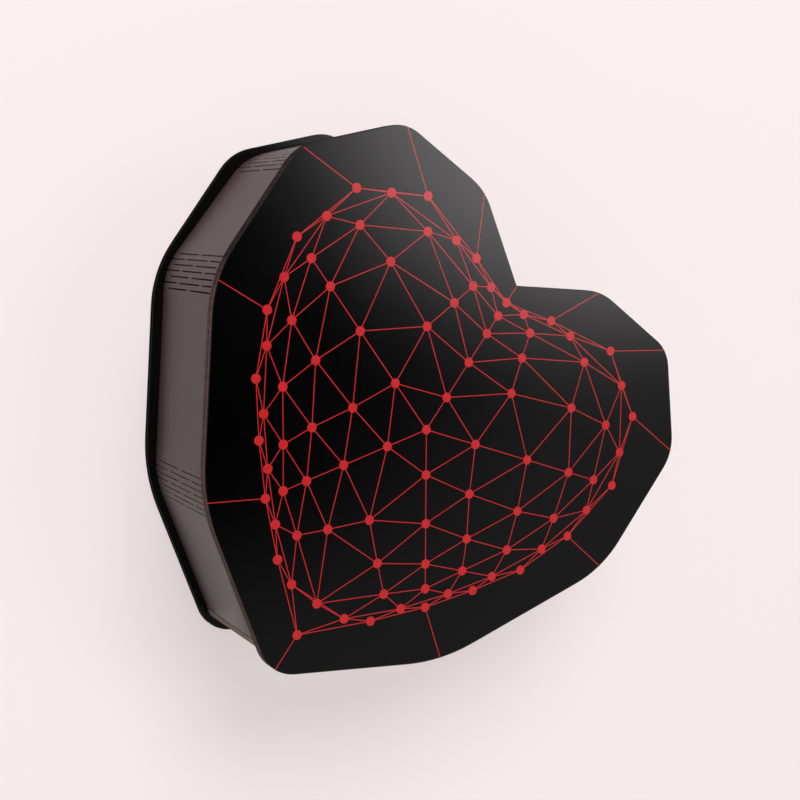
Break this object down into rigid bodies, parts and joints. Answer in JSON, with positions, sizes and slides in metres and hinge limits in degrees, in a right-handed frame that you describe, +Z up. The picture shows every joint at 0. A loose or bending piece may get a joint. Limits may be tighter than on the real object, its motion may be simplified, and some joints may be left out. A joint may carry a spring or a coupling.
{
  "type": "heart-shaped gift box",
  "caption": "Heart-shaped gift box of thin black board with a many-sided outline, slit walls that bend round its corners and a printed lift-off lid.",
  "frame": {"origin": "on the table, under the middle of the box's bounding box, with the box lying on its base", "axes": "+Z up from the base to the lid, +Y along the heart's middle line from the tip to the notch, +X to the right of it when looking at the lid"},
  "size_m": [0.236, 0.2206, 0.081],
  "materials": {
    "printed_board": "black satin face with a red print, brown cut edge",
    "black_board": "black satin face, brown cut edge",
    "wall_board": "dark brown-grey satin outside, brown board inside and in the slits",
    "raw_board": "bare brown fibreboard",
    "red_ink": "red printing ink with the gloss of the film under it"
  },
  "bodies": {
    "box": {"base_panel": "black_board", "base_locator": "raw_board", "right_wall": "wall_board", "left_wall": "wall_board"},
    "lid": {"lid_locator": "raw_board", "lid_backing": "black_board", "lid_panel": "printed_board"}
  },
  "joints": [
    {"name": "lid_lift", "type": "slide", "parent": "box", "child": "lid", "axis": [0, 0, 1], "range_m": [0, 0.08]}
  ]
}
